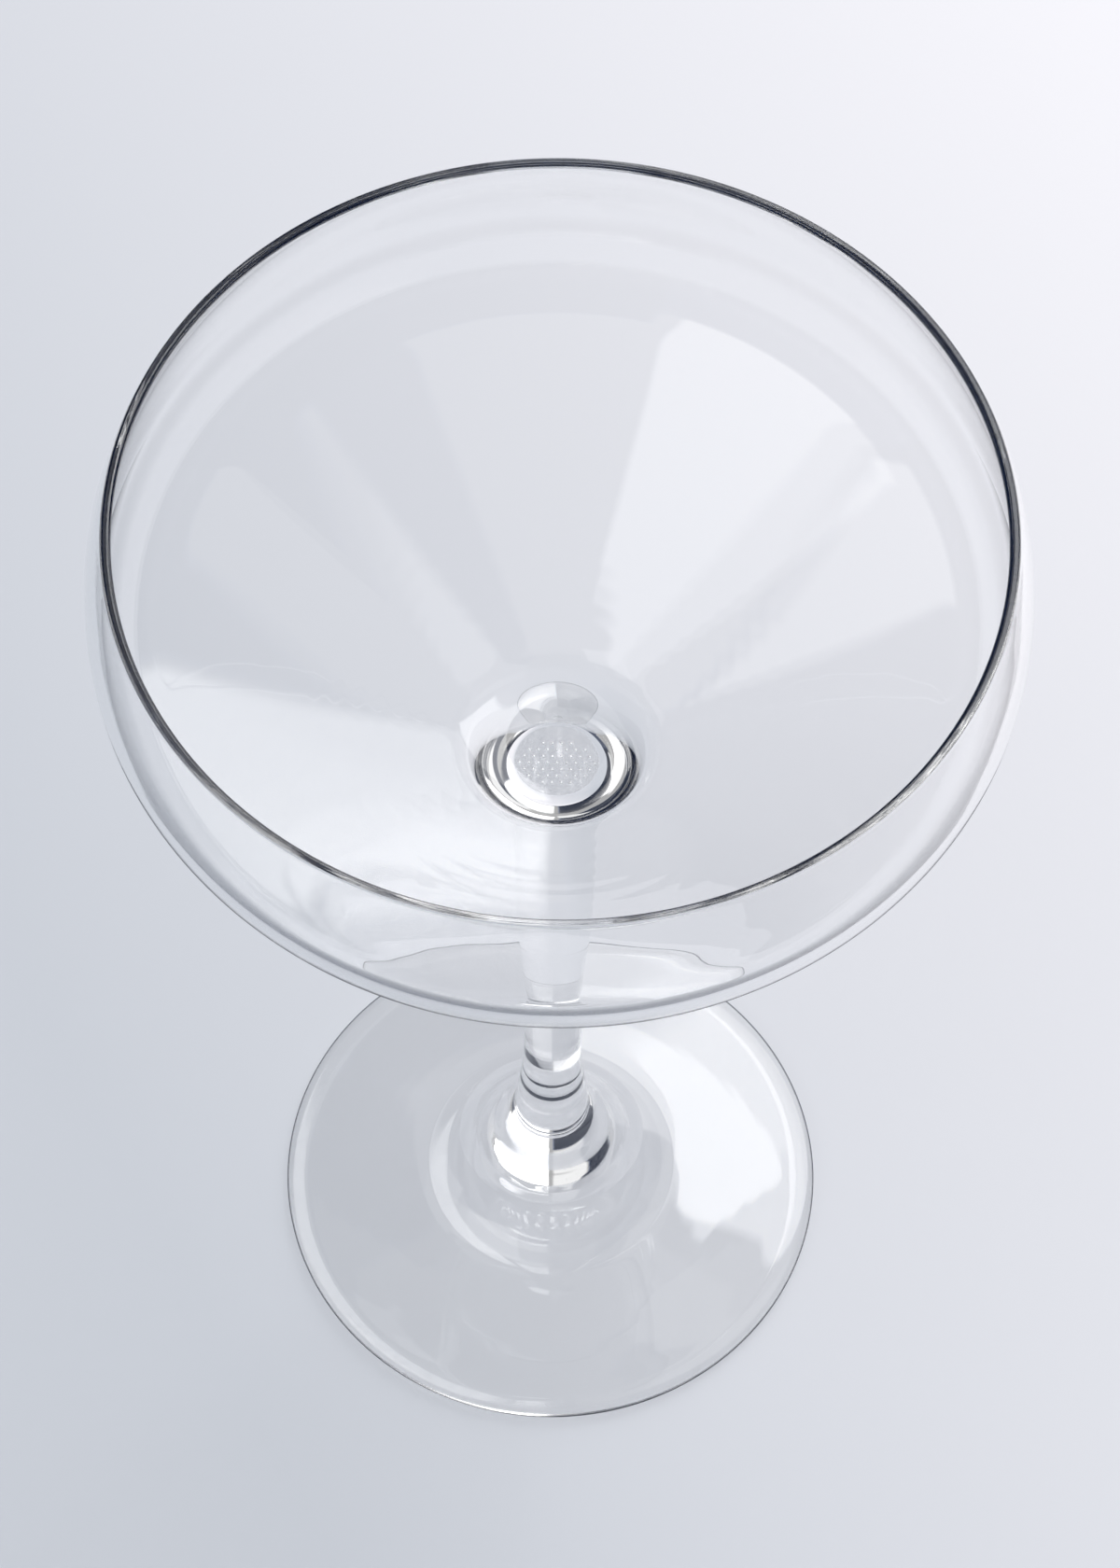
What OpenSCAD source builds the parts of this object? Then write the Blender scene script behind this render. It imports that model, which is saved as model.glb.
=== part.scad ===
// Stemmed cocktail glass with a wide, shallow bowl on a slender stem: a blown bowl,
// a drawn stem and a pressed foot, fused end to end on flat welds.
// Millimetres, +Z up, the origin on the table under the stem's axis.

/* [Glass] */
// Height of the whole glass, from the table to the rim
glass_h = 158; // [146:1:190]

/* [Bowl] */
// Outer diameter of the rim
rim_d = 96; // [84:0.5:98]
// Outer diameter of the bowl where it is widest
belly_d = 101.2; // [100:0.2:114]
// Drop from the rim to the widest place
belly_drop = 13; // [8:0.5:18]
// Depth of the inside, from the rim to its lowest point
bowl_depth = 44.5; // [41:0.5:54]
// Outer radius of the shoulder, the round below the widest place
shoulder_r = 15.5; // [11:0.5:20]
// Angle that the shoulder turns through, from upright towards level
shoulder_turn = 55; // [48:1:62]
// Wall of the rim and the side
side_wall = 1.2; // [1:0.1:2]
// Wall of the underside where it starts to flare into the stem
base_wall = 1.7; // [1.2:0.1:2.6]
// Radius of the two melted edges of the lip, at most half its wall
lip_r = 0.45; // [0.2:0.05:0.5]
// Diameter of the level floor at the bottom of the inside
well_floor_d = 11; // [7:0.5:14]
// Radius of the round between the well's floor and the slope of the inside
well_r = 14; // [9:0.5:20]
// Slope of the inside where the well ends
well_slope = 24; // [18:1:29]
// Diameter at which the underside starts to flare into the stem
flare_d = 25; // [20:0.5:32]

/* [Stem] */
// Drop from the bottom of the inside to the weld of bowl and stem
bowl_weld_drop = 7.5; // [6:0.5:12]
// Diameter of the weld of bowl and stem
bowl_weld_d = 9.5; // [8:0.1:11.5]
// Diameter of the waist, where the stem is thinnest
waist_d = 7.2; // [5:0.1:8.5]
// Height of the waist above the table
waist_h = 38; // [32:1:50]
// Height of the weld of stem and foot above the table
foot_weld_h = 24.4; // [22:0.2:28]
// Diameter of the weld of stem and foot
foot_weld_d = 9.2; // [8:0.1:11]
// Lean of the stem's side at the weld with the foot
foot_weld_lean = 4; // [0:0.5:8]

/* [Foot] */
// Diameter of the foot
foot_d = 70.2; // [62:0.2:84]
// Thickness of the foot's round edge
edge_t = 2.4; // [1.6:0.1:3.2]
// Width of the flat ring that the foot stands on
rest_w = 1.6; // [1:0.1:2.4]
// Height of the hollow under the foot
hollow_h = 4.9; // [3:0.1:5.1]
// Diameter of the boss at its shoulder, below the neck that the stem is welded to
boss_d = 15.5; // [13:0.1:18]
// Height of the boss's shoulder above the table
boss_h = 16.4; // [14:0.1:18.5]
// Lean of the boss's side at its shoulder
boss_lean = 17; // [8:1:24]
// Diameter at which the boss's skirt runs out into the plate
run_out_d = 36; // [30:0.5:42]
// Height of the plate's top where the skirt runs out
plate_h = 5.9; // [5.5:0.1:7.4]

/* [Hidden] */

// Steps in each curved stretch of an outline, and sides of a full turn
curve_steps = 14;
lip_steps = 4;
$fn = 180;

glass_tint = [0.86, 0.89, 0.92, 0.4];

// How far a curve's two handles reach, as a share of the distance between its ends
handle_share = 1 / 3;
// The same for the flare under the bowl: level pull at its top, upright pull at its weld
flare_top_share = 0.32;
flare_weld_share = 0.12;
// The same for the stem: pull below the bowl's weld, and above and below the waist
stem_top_share = 0.66;
waist_up_share = 0.36;
waist_down_share = 0.28;
// The same for the boss: pull below the stem's weld, above and below the shoulder, and
// back from the run-out
neck_share = 0.63;
shoulder_up_share = 0.27;
shoulder_down_share = 0.6;
run_out_share = 0.1;
// Step either way of a point when the slope of an outline is taken there
slope_step_share = 0.1;

rim_r = rim_d / 2;
belly_r = belly_d / 2;
flare_r = flare_d / 2;
well_floor_r = well_floor_d / 2;
bowl_weld_r = bowl_weld_d / 2;
waist_r = waist_d / 2;
foot_weld_r = foot_weld_d / 2;
foot_r = foot_d / 2;
boss_r = boss_d / 2;
run_out_r = run_out_d / 2;
edge_r = edge_t / 2;

belly_z = glass_h - belly_drop;
well_z = glass_h - bowl_depth;
bowl_weld_h = well_z - bowl_weld_drop;

// Radius of the side's arc, upright at the widest place and ending at the rim
side_in = belly_r - rim_r;
side_r = (belly_drop * belly_drop + side_in * side_in) / (2 * side_in);
side_c = [belly_r - side_r, belly_z];
shoulder_c = [belly_r - shoulder_r, belly_z];
shoulder_slope = 90 - shoulder_turn;

// Unit vector at an angle from level
function ray(a) = [cos(a), sin(a)];
function arc(c, r, a0, a1) =
    [for (i = [0:curve_steps]) c + r * ray(a0 + (a1 - a0) * i / curve_steps)];
// Cubic curve from a to d, pulled towards b and c
function curve(a, b, c, d) =
    [for (i = [0:curve_steps])
        let (t = i / curve_steps, s = 1 - t)
        s * s * s * a + 3 * s * s * t * b + 3 * s * t * t * c + t * t * t * d];
// Cubic curve between two points that leaves a towards angle ta and reaches d at td
function bend(a, ta, d, td) =
    let (pull = norm(d - a) * handle_share)
    curve(a, a + pull * ray(ta), d - pull * ray(td), d);
// A stretch without its first point, which the stretch before it has
function rest_of(p) = [for (i = [1:len(p) - 1]) p[i]];

// Inside of the bowl, from the shoulder's end to the well's edge
inside_shoulder = shoulder_c + (shoulder_r - side_wall) * ray(-shoulder_turn);
well_c = [well_floor_r, well_z + well_r];
well_edge = well_c + well_r * ray(well_slope - 90);
inside_slope = bend(
    inside_shoulder, 180 + shoulder_slope, well_edge, 180 + well_slope);

// Where the underside starts to flare, the base wall below the inside
function inside_z(r) = lookup(r, inside_slope);
slope_step = flare_r * slope_step_share;
flare_slope = atan2(
    inside_z(flare_r + slope_step) - inside_z(flare_r - slope_step), 2 * slope_step);
flare_top = [flare_r, inside_z(flare_r) - base_wall / cos(flare_slope)];
flare_weld = [bowl_weld_r, bowl_weld_h];

// Turn of the side's arcs where the small rounds of the level lip take over
lip_rise = belly_drop - lip_r;
lip_outer_turn = asin(lip_rise / (side_r - lip_r));
lip_inner_turn = asin(lip_rise / (side_r - side_wall + lip_r));

// Closed outline of the bowl's wall, from the weld up the outside and down the inside
function bowl_outline() = concat(
    [[0, bowl_weld_h]],
    curve(
        flare_weld,
        flare_weld + [0, (flare_top[1] - bowl_weld_h) * flare_weld_share],
        flare_top - (flare_r - bowl_weld_r) * flare_top_share * ray(flare_slope),
        flare_top),
    rest_of(bend(
        flare_top, flare_slope,
        shoulder_c + shoulder_r * ray(-shoulder_turn), shoulder_slope)),
    rest_of(arc(shoulder_c, shoulder_r, -shoulder_turn, 0)),
    rest_of(arc(side_c, side_r, 0, lip_outer_turn)),
    rest_of(lip(side_r - lip_r, lip_outer_turn, lip_outer_turn, 90)),
    lip(side_r - side_wall + lip_r, lip_inner_turn, 90, 180 + lip_inner_turn),
    rest_of(arc(side_c, side_r - side_wall, lip_inner_turn, 0)),
    rest_of(arc(shoulder_c, shoulder_r - side_wall, 0, -shoulder_turn)),
    rest_of(inside_slope),
    rest_of(arc(well_c, well_r, well_slope - 90, -90)),
    [[0, well_z]]);

// One small round of the lip, its centre on an arc of the side at the given turn
function lip(r, turn, from, to) =
    let (c = side_c + r * ray(turn))
    [for (i = [0:lip_steps]) c + lip_r * ray(from + (to - from) * i / lip_steps)];

// Outline of the stem, from the bowl's weld down to the waist and on to the foot's weld
function stem_outline() =
    let (
        top = [bowl_weld_r, bowl_weld_h],
        waist = [waist_r, waist_h],
        low = [foot_weld_r, foot_weld_h],
        upper_h = bowl_weld_h - waist_h,
        lower_h = waist_h - foot_weld_h
    )
    concat(
        [[0, foot_weld_h], [0, bowl_weld_h]],
        curve(
            top, top - [0, upper_h * stem_top_share],
            waist + [0, upper_h * waist_up_share], waist),
        rest_of(curve(
            waist, waist - [0, lower_h * waist_down_share],
            low - lower_h * handle_share * ray(foot_weld_lean - 90), low)));

// Outline of the pressed foot: a boss with a soft shoulder, whose skirt runs out into a
// sloping plate with a round edge, standing on a flat ring round a shallow domed hollow
function foot_outline() =
    let (
        weld = [foot_weld_r, foot_weld_h],
        shoulder = [boss_r, boss_h],
        run_out = [run_out_r, plate_h],
        neck_l = norm(shoulder - weld),
        skirt_l = norm(run_out - shoulder),
        edge_c = [foot_r - edge_r, edge_r],
        plate_slope = atan2(plate_h - edge_t, edge_c[0] - run_out_r),
        rest_in = edge_c[0] - rest_w,
        hollow_r = (rest_in * rest_in + hollow_h * hollow_h) / (2 * hollow_h),
        hollow_turn = asin(rest_in / hollow_r)
    )
    concat(
        [[0, foot_weld_h]],
        curve(
            weld, weld + neck_l * neck_share * ray(foot_weld_lean - 90),
            shoulder + neck_l * shoulder_up_share * ray(90 + boss_lean), shoulder),
        rest_of(curve(
            shoulder, shoulder - skirt_l * shoulder_down_share * ray(90 + boss_lean),
            run_out + skirt_l * run_out_share * ray(180 - plate_slope), run_out)),
        rest_of(arc(edge_c, edge_r, 90 - plate_slope, -90)),
        arc([0, hollow_h - hollow_r], hollow_r, 90 - hollow_turn, 90));

module turned(outline) {
    color(glass_tint) rotate_extrude() polygon(outline);
}

module bowl() {
    turned(bowl_outline());
}

module stem() {
    turned(stem_outline());
}

module foot() {
    turned(foot_outline());
}

bowl();
stem();
foot();
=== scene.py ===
"""Looks of the stemmed cocktail glass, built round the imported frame. Lengths in metres."""
import math

import bmesh
import bpy
from mathutils import Matrix, Vector


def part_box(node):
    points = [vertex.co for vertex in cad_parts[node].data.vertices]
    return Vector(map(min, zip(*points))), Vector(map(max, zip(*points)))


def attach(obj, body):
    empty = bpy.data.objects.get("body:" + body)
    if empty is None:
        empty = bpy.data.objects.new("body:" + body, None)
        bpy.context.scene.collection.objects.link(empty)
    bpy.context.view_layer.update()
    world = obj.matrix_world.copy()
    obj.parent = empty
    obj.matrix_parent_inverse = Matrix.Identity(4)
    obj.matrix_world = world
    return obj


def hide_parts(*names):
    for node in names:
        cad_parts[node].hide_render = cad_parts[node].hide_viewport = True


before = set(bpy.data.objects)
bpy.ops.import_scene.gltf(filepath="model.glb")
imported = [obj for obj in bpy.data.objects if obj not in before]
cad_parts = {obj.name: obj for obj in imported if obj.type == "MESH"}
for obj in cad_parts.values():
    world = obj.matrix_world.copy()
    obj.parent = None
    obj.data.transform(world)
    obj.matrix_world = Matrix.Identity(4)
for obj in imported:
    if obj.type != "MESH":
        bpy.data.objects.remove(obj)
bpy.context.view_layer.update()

MM = 0.001

# Camera, solved from the photograph's two circles: the rim and the foot. It stands in
# front of the stem's axis and above the table, and looks down.
PHOTO_HEIGHT_PX = 1680
FOCAL_PX = 4979
SENSOR_MM = 36
CAMERA_DISTANCE = 0.2680
CAMERA_HEIGHT = 0.5635
CAMERA_PITCH = math.radians(59.75)
CAMERA_YAW = math.radians(0.085)
CAMERA_ROLL = math.radians(0.956)
CLIP_START = 0.01
CLIP_END = 20

# Turned pieces: sides of a full turn, the longest step along an outline, and the least
# number of steps between two of its points
SIDES = 256
OUTLINE_STEP = 0.6 * MM
LEAST_STEPS = 2
# Rings closer than this are one, and a ring narrower than this is a point on the axis
SAME_RING = 0.003 * MM
# A sharper turn of the outline stays a corner
CORNER_ANGLE = math.radians(60)

# Places in the list of materials of a turned piece. The second glass is that of the
# bowl's inside and of the foot's round edge.
GLASS, WELD, LIP, REST, SECOND_GLASS, SIDE_GLASS = range(6)

# Clear glass. Hands left a trace of haze, up to this roughness.
GLASS_IOR = 1.52
GLASS_COLOUR = (0.997, 0.9985, 0.999, 1)
HAZE_ROUGHNESS = 0.008
# Painted shade: a dark colour mixed into a glass wall seen at a grazing angle
PAINTED_EDGE_SHADE_COLOUR = (0.02, 0.032, 0.075, 1)
PAINTED_EDGE_SHADE_ROUGHNESS = 0.5
PAINTED_EDGE_SHADE_BLEND = 0.5
# How grazing, from 0 to 1, the view is where the painted shade starts and where it is full,
# and how much of it there is then
OUTSIDE_PAINTED_EDGE_SHADE = (0.84, 0.96, 0.85)
INSIDE_PAINTED_EDGE_SHADE = (0.62, 0.88, 1.0)
FOOT_PAINTED_EDGE_SHADE = (0.42, 0.8, 1.0)
# Width of the foot's round edge, and height of the bowl's side, below the rim, whose
# glass has no such painted shade
FOOT_EDGE_R = 1.2 * MM
PLAIN_SIDE_H = 14 * MM

# Waviness of each piece: features per metre, depth, and stretch along X, Y and Z
BOWL_WAVES = (55, 0.03 * MM, (0.5, 0.5, 2.5))
STEM_WAVES = (120, 0.012 * MM, (1, 1, 0.2))
FOOT_WAVES = (60, 0.05 * MM, (1, 1, 1))
# Cut lip and worn standing ring: least and most roughness, depth of the scratches, and
# their stretch
CUT_LIP = (0.01, 0.07, 0.0015 * MM, (1, 1, 0.1))
WORN_RING = (0.02, 0.12, 0.002 * MM, (1, 1, 1))

# Noise textures: features per metre and levels of detail, and the range that most of a
# noise's values lie in
HAZE_NOISE = (45, 4)
WEAR_NOISE = (900, 3)
SCRATCH_NOISE = (2600, 3)
GRAIN_NOISE = (9000, 3)
WAVE_DETAIL = 1
NOISE_LOW = 0.35
NOISE_HIGH = 0.65

# Etched dots, in staggered rows within an oval on the level floor of the bowl's inside.
# A dot's shoulder is given in shares of its radius and its rise.
DOT_R = 0.14 * MM
DOT_RISE = 0.03 * MM
DOT_SINK = 0.05 * MM
DOT_SHOULDER_R_SHARE = 0.7
DOT_SHOULDER_RISE_SHARE = 0.75
DOT_STEP_X = 1.05 * MM
DOT_STEP_Y = 0.85 * MM
DOTS_Y = -2.8 * MM
DOTS_RX = 4.2 * MM
DOTS_RY = 3.2 * MM
DOT_SIDES = 10
ETCHED_COLOUR = (0.97, 0.98, 1, 1)
ETCHED_METALLIC = 0.85
ETCHED_ROUGHNESS = (0.32, 0.5)
ETCHED_DEPTH = 0.01 * MM

# Room, as the glass sees it: an even ceiling, with patches that add to its light or take
# from it. In degrees: azimuth from and to, counted from +X towards +Y, and elevation
# from and to; then what the patch adds. The camera stands at azimuth 270.
CEILING_LIGHT = 0.42
ROOM = (
    # All that lies below the horizon
    (-5, 365, -95, 0, -0.38),
    # Back left wall, higher on its left, with a paler field of ceiling on its right
    (92, 152, 0, 46, -0.38),
    (120, 152, 46, 72, -0.38),
    (92, 118, 48, 75, 0.5),
    # Left wall
    (152, 188, 0, 42, -0.38),
    # Dark field of the ceiling at the front right, and a pale one at the right, in two
    # patches that meet at azimuth 0
    (312, 340, 45, 75, -0.36),
    (342, 365, 50, 78, 0.45),
    (-5, 25, 50, 78, 0.45),
    # Front left wall, front wall and right wall, the last two meeting at azimuth 0
    (188, 248, 0, 34, -0.30),
    (248, 365, 0, 45, -0.38),
    (-5, 36, 0, 30, -0.36),
    # Left window: its main pane, one beside it and a low one towards the back
    (195, 242, 34, 66, 1.2),
    (178, 195, 36, 66, 0.7),
    (154, 184, 22, 40, 0.9),
    # Large window at the back right, in three bands from the table up
    (38, 88, 0, 20, 1.5),
    (38, 88, 20, 40, 1.3),
    (34, 88, 40, 65, 3.8),
)
FULL_TURN = 360
# A patch fades over this many degrees on either side of its edge
EDGE_SOFTNESS = 1
# The dark walls are bluish
DARK_TINT = (0.55, 0.75, 1.35, 1)
LIGHT_TINT = (1.0, 1.0, 1.0, 1)

# Floor of matt paper, a little below the foot so that no two faces lie in one plane.
# Its colour holds painted light: it gets lighter along a slant towards the far right, where
# the large window stands, and darker towards the near left.
FLOOR_GAP = 0.05 * MM
FLOOR_HALF = 3.0
PAINTED_LIGHT_SLANT = (0.88, 0.48, 0)
PAINTED_LIGHT_FROM = -0.05
PAINTED_LIGHT_TO = 0.19
FLOOR_ROUGHNESS = 0.9
PAPER_WITH_PAINTED_SHADE_NEAR = (0.248, 0.26, 0.282, 1)
PAPER_WITH_PAINTED_LIGHT_FAR = (0.398, 0.395, 0.413, 1)
# Its glow, for what the camera sees alone, makes the rest of the pale ground, with the same
# painted light along the slant
FLOOR_GLOW = 0.85
GLOW_WITH_PAINTED_SHADE_NEAR = (0.503, 0.528, 0.576, 1)
GLOW_WITH_PAINTED_LIGHT_FAR = (0.809, 0.802, 0.84, 1)

LIGHT_BOUNCES = 100


def ring_places(mesh):
    """The distinct (radius, height) rings of a turned mesh, and each vertex's ring."""
    places, ring_of = [], []
    for vertex in mesh.vertices:
        r, z = math.hypot(vertex.co.x, vertex.co.y), vertex.co.z
        for i, (ring_r, ring_z) in enumerate(places):
            if abs(r - ring_r) < SAME_RING and abs(z - ring_z) < SAME_RING:
                ring_of.append(i)
                break
        else:
            places.append((r, z))
            ring_of.append(len(places) - 1)
    return places, ring_of


def neighbours(mesh, ring_of, count):
    """For each ring, the rings that an edge of the mesh joins it to."""
    next_to = {i: set() for i in range(count)}
    for edge in mesh.edges:
        a, b = ring_of[edge.vertices[0]], ring_of[edge.vertices[1]]
        if a != b:
            next_to[a].add(b)
            next_to[b].add(a)
    return next_to


def outline_of(node):
    """The node's outline as (radius, height) points, from its lower end to its upper."""
    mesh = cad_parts[node].data
    places, ring_of = ring_places(mesh)
    next_to = neighbours(mesh, ring_of, len(places))
    ends = [i for i in next_to if len(next_to[i]) == 1]
    walk = [min(ends, key=lambda i: places[i][1])]
    while True:
        onward = [i for i in next_to[walk[-1]] if i not in walk[-2:]]
        if not onward:
            break
        walk.append(onward[0])
    points = [places[i] for i in walk]
    if points[0][0] > SAME_RING:
        points.insert(0, (0.0, points[0][1]))
    if points[-1][0] > SAME_RING:
        points.append((0.0, points[-1][1]))
    return [Vector(p) for p in points]


def turn_at(a, b, c):
    """Angle by which an outline turns at b."""
    return (b - a).angle(c - b, 0.0)


def spline_point(p0, p1, p2, p3, t):
    """Point at share t between p1 and p2 of a centripetal Catmull-Rom curve."""
    t0 = 0.0
    t1 = t0 + math.sqrt((p1 - p0).length)
    t2 = t1 + math.sqrt((p2 - p1).length)
    t3 = t2 + math.sqrt((p3 - p2).length)
    u = t1 + (t2 - t1) * t

    def mix(a, b, ta, tb):
        return a * ((tb - u) / (tb - ta)) + b * ((u - ta) / (tb - ta))

    a1, a2, a3 = mix(p0, p1, t0, t1), mix(p1, p2, t1, t2), mix(p2, p3, t2, t3)
    b1, b2 = mix(a1, a2, t0, t2), mix(a2, a3, t1, t3)
    return mix(b1, b2, t1, t2)


def smooth_outline(points):
    """The outline in short steps along a smooth curve, with its corners kept and no point
    above its highest or below its lowest."""
    last = len(points) - 1
    corner = [
        i in (0, last) or turn_at(points[i - 1], points[i], points[i + 1]) > CORNER_ANGLE
        for i in range(last + 1)
    ]
    lowest, highest = min(p.y for p in points), max(p.y for p in points)
    fine = [points[0]]
    for i in range(last):
        p1, p2 = points[i], points[i + 1]
        p0 = p1 * 2 - p2 if corner[i] else points[i - 1]
        p3 = p2 * 2 - p1 if corner[i + 1] else points[i + 2]
        steps = max(LEAST_STEPS, math.ceil((p2 - p1).length / OUTLINE_STEP))
        for k in range(1, steps + 1):
            point = p2.copy() if k == steps else spline_point(p0, p1, p2, p3, k / steps)
            point.y = min(max(point.y, lowest), highest)
            fine.append(point)
    return fine


def new_ring(bm, r, z):
    """A ring of vertices round the axis, or a single one on it."""
    if r < SAME_RING:
        return [bm.verts.new((0, 0, z))]
    turns = (2 * math.pi * i / SIDES for i in range(SIDES))
    return [bm.verts.new((r * math.cos(a), r * math.sin(a), z)) for a in turns]


def ring_faces(bm, low, high):
    """The faces between two rings, either of which may be a single vertex."""
    if len(low) == len(high) == 1:
        return []
    faces = []
    for a in range(SIDES):
        b = (a + 1) % SIDES
        if len(low) == 1:
            corners = (low[0], high[b], high[a])
        elif len(high) == 1:
            corners = (low[a], low[b], high[0])
        else:
            corners = (low[a], low[b], high[b], high[a])
        faces.append(bm.faces.new(corners))
    return faces


def new_piece(name, bm, materials):
    """An object in the scene, made of a finished mesh."""
    mesh = bpy.data.meshes.new(name)
    bm.to_mesh(mesh)
    bm.free()
    for material in materials:
        mesh.materials.append(material)
    piece = bpy.data.objects.new(name, mesh)
    bpy.context.scene.collection.objects.link(piece)
    return piece


def lathe(name, outline, material_at, materials):
    """A closed turned piece; material_at(step of the outline, radius, height) picks the
    material of each face."""
    bm = bmesh.new()
    rings = [new_ring(bm, r, z) for r, z in outline]
    for i, (low, high) in enumerate(zip(rings, rings[1:])):
        middle = (outline[i] + outline[i + 1]) / 2
        for face in ring_faces(bm, low, high):
            face.material_index = material_at(i, *middle)
            face.smooth = True
    bmesh.ops.recalc_face_normals(bm, faces=bm.faces)
    piece = new_piece(name, bm, materials)
    piece.data.set_sharp_from_angle(angle=CORNER_ANGLE)
    return piece


def new_material(name):
    """A material with its nodes, links and shader."""
    material = bpy.data.materials.new(name)
    material.use_nodes = True
    nodes = material.node_tree.nodes
    return material, nodes, material.node_tree.links, nodes["Principled BSDF"]


def new_glass(name):
    """A glass material with its nodes, links and shader."""
    material, nodes, links, shader = new_material(name)
    shader.inputs["Base Color"].default_value = GLASS_COLOUR
    shader.inputs["Transmission Weight"].default_value = 1
    shader.inputs["IOR"].default_value = GLASS_IOR
    return material, nodes, links, shader


def noise(nodes, links, scale, detail, stretch=(1, 1, 1)):
    """A noise texture fixed to the piece, in features per metre."""
    place = nodes.new("ShaderNodeTexCoord")
    mapping = nodes.new("ShaderNodeMapping")
    mapping.inputs["Scale"].default_value = stretch
    texture = nodes.new("ShaderNodeTexNoise")
    texture.inputs["Scale"].default_value = scale
    texture.inputs["Detail"].default_value = detail
    links.new(place.outputs["Object"], mapping.inputs["Vector"])
    links.new(mapping.outputs["Vector"], texture.inputs["Vector"])
    return texture.outputs["Fac"]


def to_range(nodes, links, value, low, high, from_low=NOISE_LOW, from_high=NOISE_HIGH):
    """Maps a value from one range to another, clamped."""
    ranger = nodes.new("ShaderNodeMapRange")
    ranger.inputs["From Min"].default_value = from_low
    ranger.inputs["From Max"].default_value = from_high
    ranger.inputs["To Min"].default_value = low
    ranger.inputs["To Max"].default_value = high
    links.new(value, ranger.inputs["Value"])
    return ranger.outputs["Result"]


def add_bump(nodes, links, shader, height, distance):
    """Fine relief of the surface."""
    bump = nodes.new("ShaderNodeBump")
    bump.inputs["Strength"].default_value = 1
    bump.inputs["Distance"].default_value = distance
    links.new(height, bump.inputs["Height"])
    links.new(bump.outputs["Normal"], shader.inputs["Normal"])


def paint_edge_shade(nodes, links, shader, edge):
    """Paints shade on glass seen at a grazing angle: a dark colour mixed in as the surface
    turns away.
    """
    from_facing, to_facing, most = edge
    # Painted shade: a dark matt colour that takes over from the glass at grazing angles
    painted_shade = nodes.new("ShaderNodeBsdfPrincipled")
    painted_shade.inputs["Base Color"].default_value = PAINTED_EDGE_SHADE_COLOUR
    painted_shade.inputs["Specular IOR Level"].default_value = 0
    painted_shade.inputs["Roughness"].default_value = PAINTED_EDGE_SHADE_ROUGHNESS
    facing = nodes.new("ShaderNodeLayerWeight")
    facing.inputs["Blend"].default_value = PAINTED_EDGE_SHADE_BLEND
    share = to_range(nodes, links, facing.outputs["Facing"], 0, most, from_facing, to_facing)
    both = nodes.new("ShaderNodeMixShader")
    links.new(share, both.inputs["Fac"])
    links.new(shader.outputs["BSDF"], both.inputs[1])
    links.new(painted_shade.outputs["BSDF"], both.inputs[2])
    links.new(both.outputs["Shader"], nodes["Material Output"].inputs["Surface"])


def clear_glass(name, waves, edge=None):
    """Polished glass, faintly wavy, with a trace of haze and, if asked, painted shade on its
    edges.
    """
    material, nodes, links, shader = new_glass(name)
    haze = noise(nodes, links, *HAZE_NOISE)
    links.new(to_range(nodes, links, haze, 0.0, HAZE_ROUGHNESS), shader.inputs["Roughness"])
    wave_scale, wave_depth, stretch = waves
    wave = noise(nodes, links, wave_scale, WAVE_DETAIL, stretch)
    add_bump(nodes, links, shader, wave, wave_depth)
    if edge:
        paint_edge_shade(nodes, links, shader, edge)
    return material


def ground_glass(name, roughness_low, roughness_high, scratch_depth, stretch):
    """Cut or worn glass: dull patches and fine scratches."""
    material, nodes, links, shader = new_glass(name)
    wear = noise(nodes, links, *WEAR_NOISE)
    roughness = to_range(nodes, links, wear, roughness_low, roughness_high)
    links.new(roughness, shader.inputs["Roughness"])
    scratches = noise(nodes, links, *SCRATCH_NOISE, stretch)
    add_bump(nodes, links, shader, scratches, scratch_depth)
    return material


def weld_material():
    """The face where two pieces are fused: glass runs through it unseen."""
    material, _, _, shader = new_material("fused_weld")
    shader.inputs["Alpha"].default_value = 0
    return material


def glass_materials():
    """The glasses of each turned piece: the first is its main one."""
    return {
        "bowl": (clear_glass("bowl_glass", BOWL_WAVES, OUTSIDE_PAINTED_EDGE_SHADE),
                 clear_glass("bowl_glass_inside", BOWL_WAVES, INSIDE_PAINTED_EDGE_SHADE),
                 clear_glass("bowl_glass_side", BOWL_WAVES)),
        "stem": (clear_glass("stem_glass", STEM_WAVES),),
        "foot": (clear_glass("foot_glass", FOOT_WAVES),
                 clear_glass("foot_glass_painted_edge_shade", FOOT_WAVES, FOOT_PAINTED_EDGE_SHADE)),
    }


def add_turned_glass():
    """Bowl, stem and foot, turned from the smoothed outlines of their nodes."""
    weld = weld_material()
    cut_lip = ground_glass("cut_lip", *CUT_LIP)
    worn_ring = ground_glass("worn_standing_ring", *WORN_RING)
    welds = (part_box("stem")[0].z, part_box("stem")[1].z)
    rim_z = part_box("bowl")[1].z
    edge_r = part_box("foot")[1].x - FOOT_EDGE_R

    for node, (glass, *more) in glass_materials().items():
        outline = smooth_outline(outline_of(node))
        top = max(range(len(outline)), key=lambda i: outline[i].y)

        def material_at(i, r, z):
            if any(abs(z - w) < SAME_RING for w in welds):
                return WELD
            if abs(z - rim_z) < SAME_RING:
                return LIP
            if abs(z) < SAME_RING:
                return REST
            if node == "bowl" and z > rim_z - PLAIN_SIDE_H:
                return SIDE_GLASS
            if (node == "bowl" and i >= top) or (node == "foot" and r > edge_r):
                return SECOND_GLASS
            return GLASS

        materials = [glass, weld, cut_lip, worn_ring, *more]
        piece = lathe(node + "_body", outline, material_at, materials)
        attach(piece, "root")
        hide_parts(node)


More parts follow.
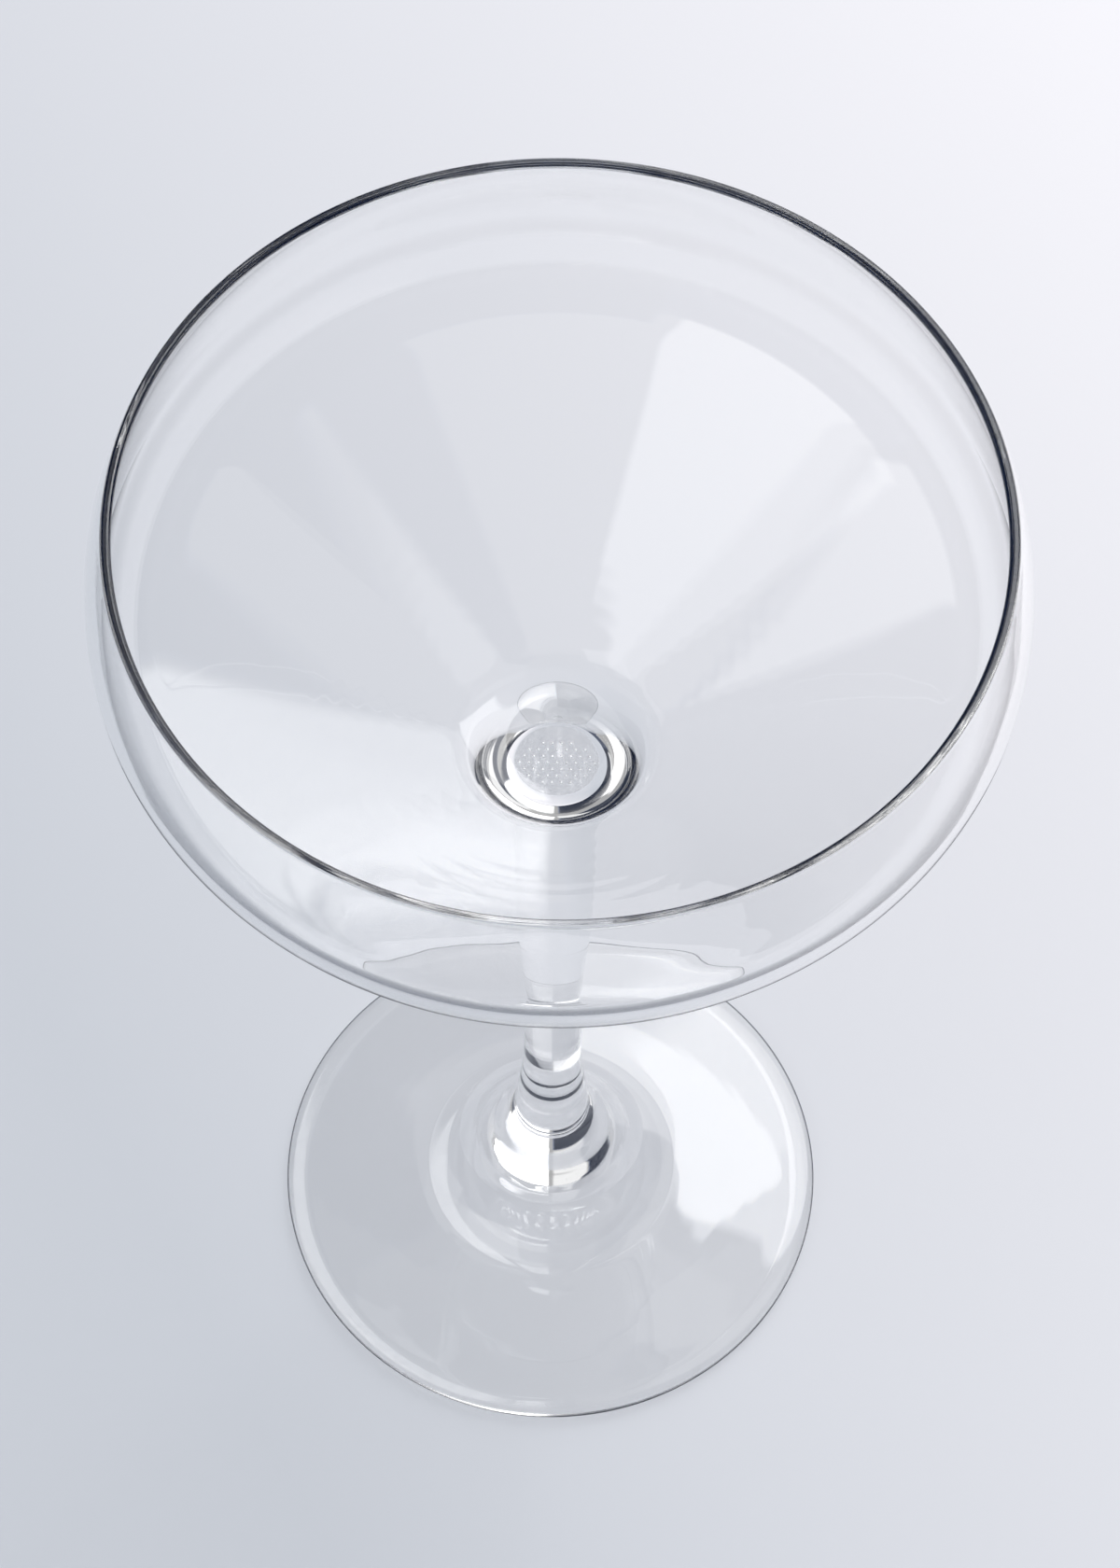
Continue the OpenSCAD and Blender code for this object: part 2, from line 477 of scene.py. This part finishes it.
def etched_material():
    """White etched glass, uneven in its dullness."""
    material, nodes, links, shader = new_material("etched_white")
    shader.inputs["Base Color"].default_value = ETCHED_COLOUR
    shader.inputs["Metallic"].default_value = ETCHED_METALLIC
    grain = noise(nodes, links, *GRAIN_NOISE)
    links.new(to_range(nodes, links, grain, *ETCHED_ROUGHNESS), shader.inputs["Roughness"])
    add_bump(nodes, links, shader, grain, ETCHED_DEPTH)
    return material


def dot_places():
    """Centres of the etched dots: staggered rows within an oval."""
    rows, columns = int(DOTS_RY / DOT_STEP_Y) + 1, int(DOTS_RX / DOT_STEP_X) + 1
    for j in range(-rows, rows + 1):
        for i in range(-columns, columns + 1):
            x, y = (i + 0.5 * (j % 2)) * DOT_STEP_X, j * DOT_STEP_Y
            if (x / DOTS_RX) ** 2 + (y / DOTS_RY) ** 2 <= 1:
                yield x, y + DOTS_Y


def add_dot(bm, x, y, floor_z):
    """One low etched dot, closed, with its foot a little inside the glass."""
    profile = (
        (DOT_R, -DOT_SINK),
        (DOT_R, 0),
        (DOT_SHOULDER_R_SHARE * DOT_R, DOT_SHOULDER_RISE_SHARE * DOT_RISE),
    )
    rings = [[
        bm.verts.new((x + r * math.cos(a), y + r * math.sin(a), floor_z + z))
        for a in (2 * math.pi * k / DOT_SIDES for k in range(DOT_SIDES))
    ] for r, z in profile]
    bottom = bm.verts.new((x, y, floor_z - DOT_SINK))
    top = bm.verts.new((x, y, floor_z + DOT_RISE))
    for k in range(DOT_SIDES):
        n = (k + 1) % DOT_SIDES
        bm.faces.new((bottom, rings[0][n], rings[0][k]))
        for low, high in zip(rings, rings[1:]):
            bm.faces.new((low[k], low[n], high[n], high[k]))
        bm.faces.new((rings[-1][k], rings[-1][n], top))


def add_dots():
    """The etched dots, as one piece on the level floor of the bowl's inside."""
    floor_z = outline_of("bowl")[-1].y
    bm = bmesh.new()
    for x, y in dot_places():
        add_dot(bm, x, y, floor_z)
    piece = new_piece("etched_dots", bm, [etched_material()])
    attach(piece, "root")


def add_camera():
    """The camera at the photograph's viewing angle."""
    data = bpy.data.cameras.new("camera")
    data.sensor_width = SENSOR_MM
    data.lens = FOCAL_PX / PHOTO_HEIGHT_PX * SENSOR_MM
    data.clip_start, data.clip_end = CLIP_START, CLIP_END
    camera = bpy.data.objects.new("camera", data)
    bpy.context.scene.collection.objects.link(camera)
    forward = Vector((
        math.sin(CAMERA_YAW) * math.cos(CAMERA_PITCH),
        math.cos(CAMERA_YAW) * math.cos(CAMERA_PITCH),
        -math.sin(CAMERA_PITCH),
    ))
    level = Vector((math.cos(CAMERA_YAW), -math.sin(CAMERA_YAW), 0))
    upright = level.cross(forward)
    right = level * math.cos(CAMERA_ROLL) + upright * math.sin(CAMERA_ROLL)
    up = upright * math.cos(CAMERA_ROLL) - level * math.sin(CAMERA_ROLL)
    turn = Matrix((right, up, -forward)).transposed()
    place = Matrix.Translation((0, -CAMERA_DISTANCE, CAMERA_HEIGHT))
    camera.matrix_world = place @ turn.to_4x4()
    bpy.context.scene.camera = camera


def calculate(nodes, links, operation, a, b=0.0):
    """A Math node's result; a and b are numbers or sockets."""
    node = nodes.new("ShaderNodeMath")
    node.operation = operation
    for socket, value in zip(node.inputs, (a, b)):
        if isinstance(value, (int, float)):
            socket.default_value = value
        else:
            links.new(value, socket)
    return node.outputs["Value"]


def colour_ramp(nodes, links, share, first, last):
    """A colour that runs from first to last as the share goes from 0 to 1."""
    ramp = nodes.new("ShaderNodeValToRGB")
    ramp.color_ramp.elements[0].color = first
    ramp.color_ramp.elements[1].color = last
    links.new(share, ramp.inputs["Fac"])
    return ramp.outputs["Color"]


def seen_glow(nodes, links, strength):
    """The strength for what the camera sees, straight or by way of glass, and 0 elsewhere."""
    path = nodes.new("ShaderNodeLightPath")
    seen = path.outputs["Is Camera Ray"]
    for other in ("Is Glossy Ray", "Is Transmission Ray"):
        seen = calculate(nodes, links, "MAXIMUM", seen, path.outputs[other])
    return calculate(nodes, links, "MULTIPLY", seen, strength)


def floor_material():
    """Pale matt paper, with painted light that makes it a little lighter towards the far
    right.
    """
    material, nodes, links, shader = new_material("floor_paper_painted_light")
    place = nodes.new("ShaderNodeTexCoord")
    light_slant = nodes.new("ShaderNodeVectorMath")
    light_slant.operation = "DOT_PRODUCT"
    light_slant.inputs[1].default_value = PAINTED_LIGHT_SLANT
    links.new(place.outputs["Object"], light_slant.inputs[0])
    # Painted light and shade along a slant: lighter towards the far right, darker towards the
    # near left.
    share = to_range(nodes, links, light_slant.outputs["Value"], 0, 1, PAINTED_LIGHT_FROM, PAINTED_LIGHT_TO)
    paper_and_painted_light = colour_ramp(nodes, links, share, PAPER_WITH_PAINTED_SHADE_NEAR, PAPER_WITH_PAINTED_LIGHT_FAR)
    glow_with_painted_light = colour_ramp(nodes, links, share, GLOW_WITH_PAINTED_SHADE_NEAR, GLOW_WITH_PAINTED_LIGHT_FAR)
    links.new(paper_and_painted_light, shader.inputs["Base Color"])
    links.new(glow_with_painted_light, shader.inputs["Emission Color"])
    links.new(seen_glow(nodes, links, FLOOR_GLOW), shader.inputs["Emission Strength"])
    shader.inputs["Roughness"].default_value = FLOOR_ROUGHNESS
    shader.inputs["Specular IOR Level"].default_value = 0
    return material


def add_floor():
    """A wide square of paper under the glass."""
    mesh = bpy.data.meshes.new("floor")
    corners = [(-FLOOR_HALF, -FLOOR_HALF, 0), (FLOOR_HALF, -FLOOR_HALF, 0),
               (FLOOR_HALF, FLOOR_HALF, 0), (-FLOOR_HALF, FLOOR_HALF, 0)]
    mesh.from_pydata(corners, [], [(0, 1, 2, 3)])
    floor = bpy.data.objects.new("floor", mesh)
    floor.location.z = -FLOOR_GAP
    bpy.context.scene.collection.objects.link(floor)
    mesh.materials.append(floor_material())


def between(nodes, links, value, low, high):
    """1 between low and high and 0 outside, with a soft step."""
    s = EDGE_SOFTNESS
    rise = to_range(nodes, links, value, 0, 1, low - s, low + s)
    fall = to_range(nodes, links, value, 1, 0, high - s, high + s)
    return calculate(nodes, links, "MULTIPLY", rise, fall)


def azimuth_and_elevation(nodes, links):
    """Direction in the room, in degrees: azimuth from 0 to 360, and elevation."""
    direction = nodes.new("ShaderNodeTexCoord")
    parts = nodes.new("ShaderNodeSeparateXYZ")
    links.new(direction.outputs["Generated"], parts.inputs["Vector"])
    turn = calculate(nodes, links, "ARCTAN2", parts.outputs["Y"], parts.outputs["X"])
    turn = calculate(nodes, links, "DEGREES", turn)
    turn = calculate(nodes, links, "ADD", turn, FULL_TURN)
    azimuth = calculate(nodes, links, "MODULO", turn, FULL_TURN)
    rise = calculate(nodes, links, "ARCSINE", parts.outputs["Z"])
    return azimuth, calculate(nodes, links, "DEGREES", rise)


def add_room():
    """The world that lights the glass: an even ceiling, dark walls and windows."""
    world = bpy.data.worlds.new("world")
    world.use_nodes = True
    nodes, links = world.node_tree.nodes, world.node_tree.links
    azimuth, elevation = azimuth_and_elevation(nodes, links)
    light = CEILING_LIGHT
    for from_a, to_a, from_e, to_e, added in ROOM:
        across = between(nodes, links, azimuth, from_a, to_a)
        upward = between(nodes, links, elevation, from_e, to_e)
        patch = calculate(nodes, links, "MULTIPLY", across, upward)
        patch = calculate(nodes, links, "MULTIPLY", patch, added)
        light = calculate(nodes, links, "ADD", patch, light)
    shade = to_range(nodes, links, light, 0, 1, 0, CEILING_LIGHT)
    tint = colour_ramp(nodes, links, shade, DARK_TINT, LIGHT_TINT)
    background = nodes["Background"]
    links.new(tint, background.inputs["Color"])
    links.new(light, background.inputs["Strength"])
    bpy.context.scene.world = world


def let_light_through():
    """Enough bounces for light that is caught inside the thick glass to find its way out."""
    cycles = bpy.context.scene.cycles
    cycles.max_bounces = LIGHT_BOUNCES
    cycles.glossy_bounces = LIGHT_BOUNCES
    cycles.transmission_bounces = LIGHT_BOUNCES


add_camera()
add_floor()
add_room()
let_light_through()
add_turned_glass()
add_dots()
bpy.context.scene.view_settings.view_transform = "Standard"
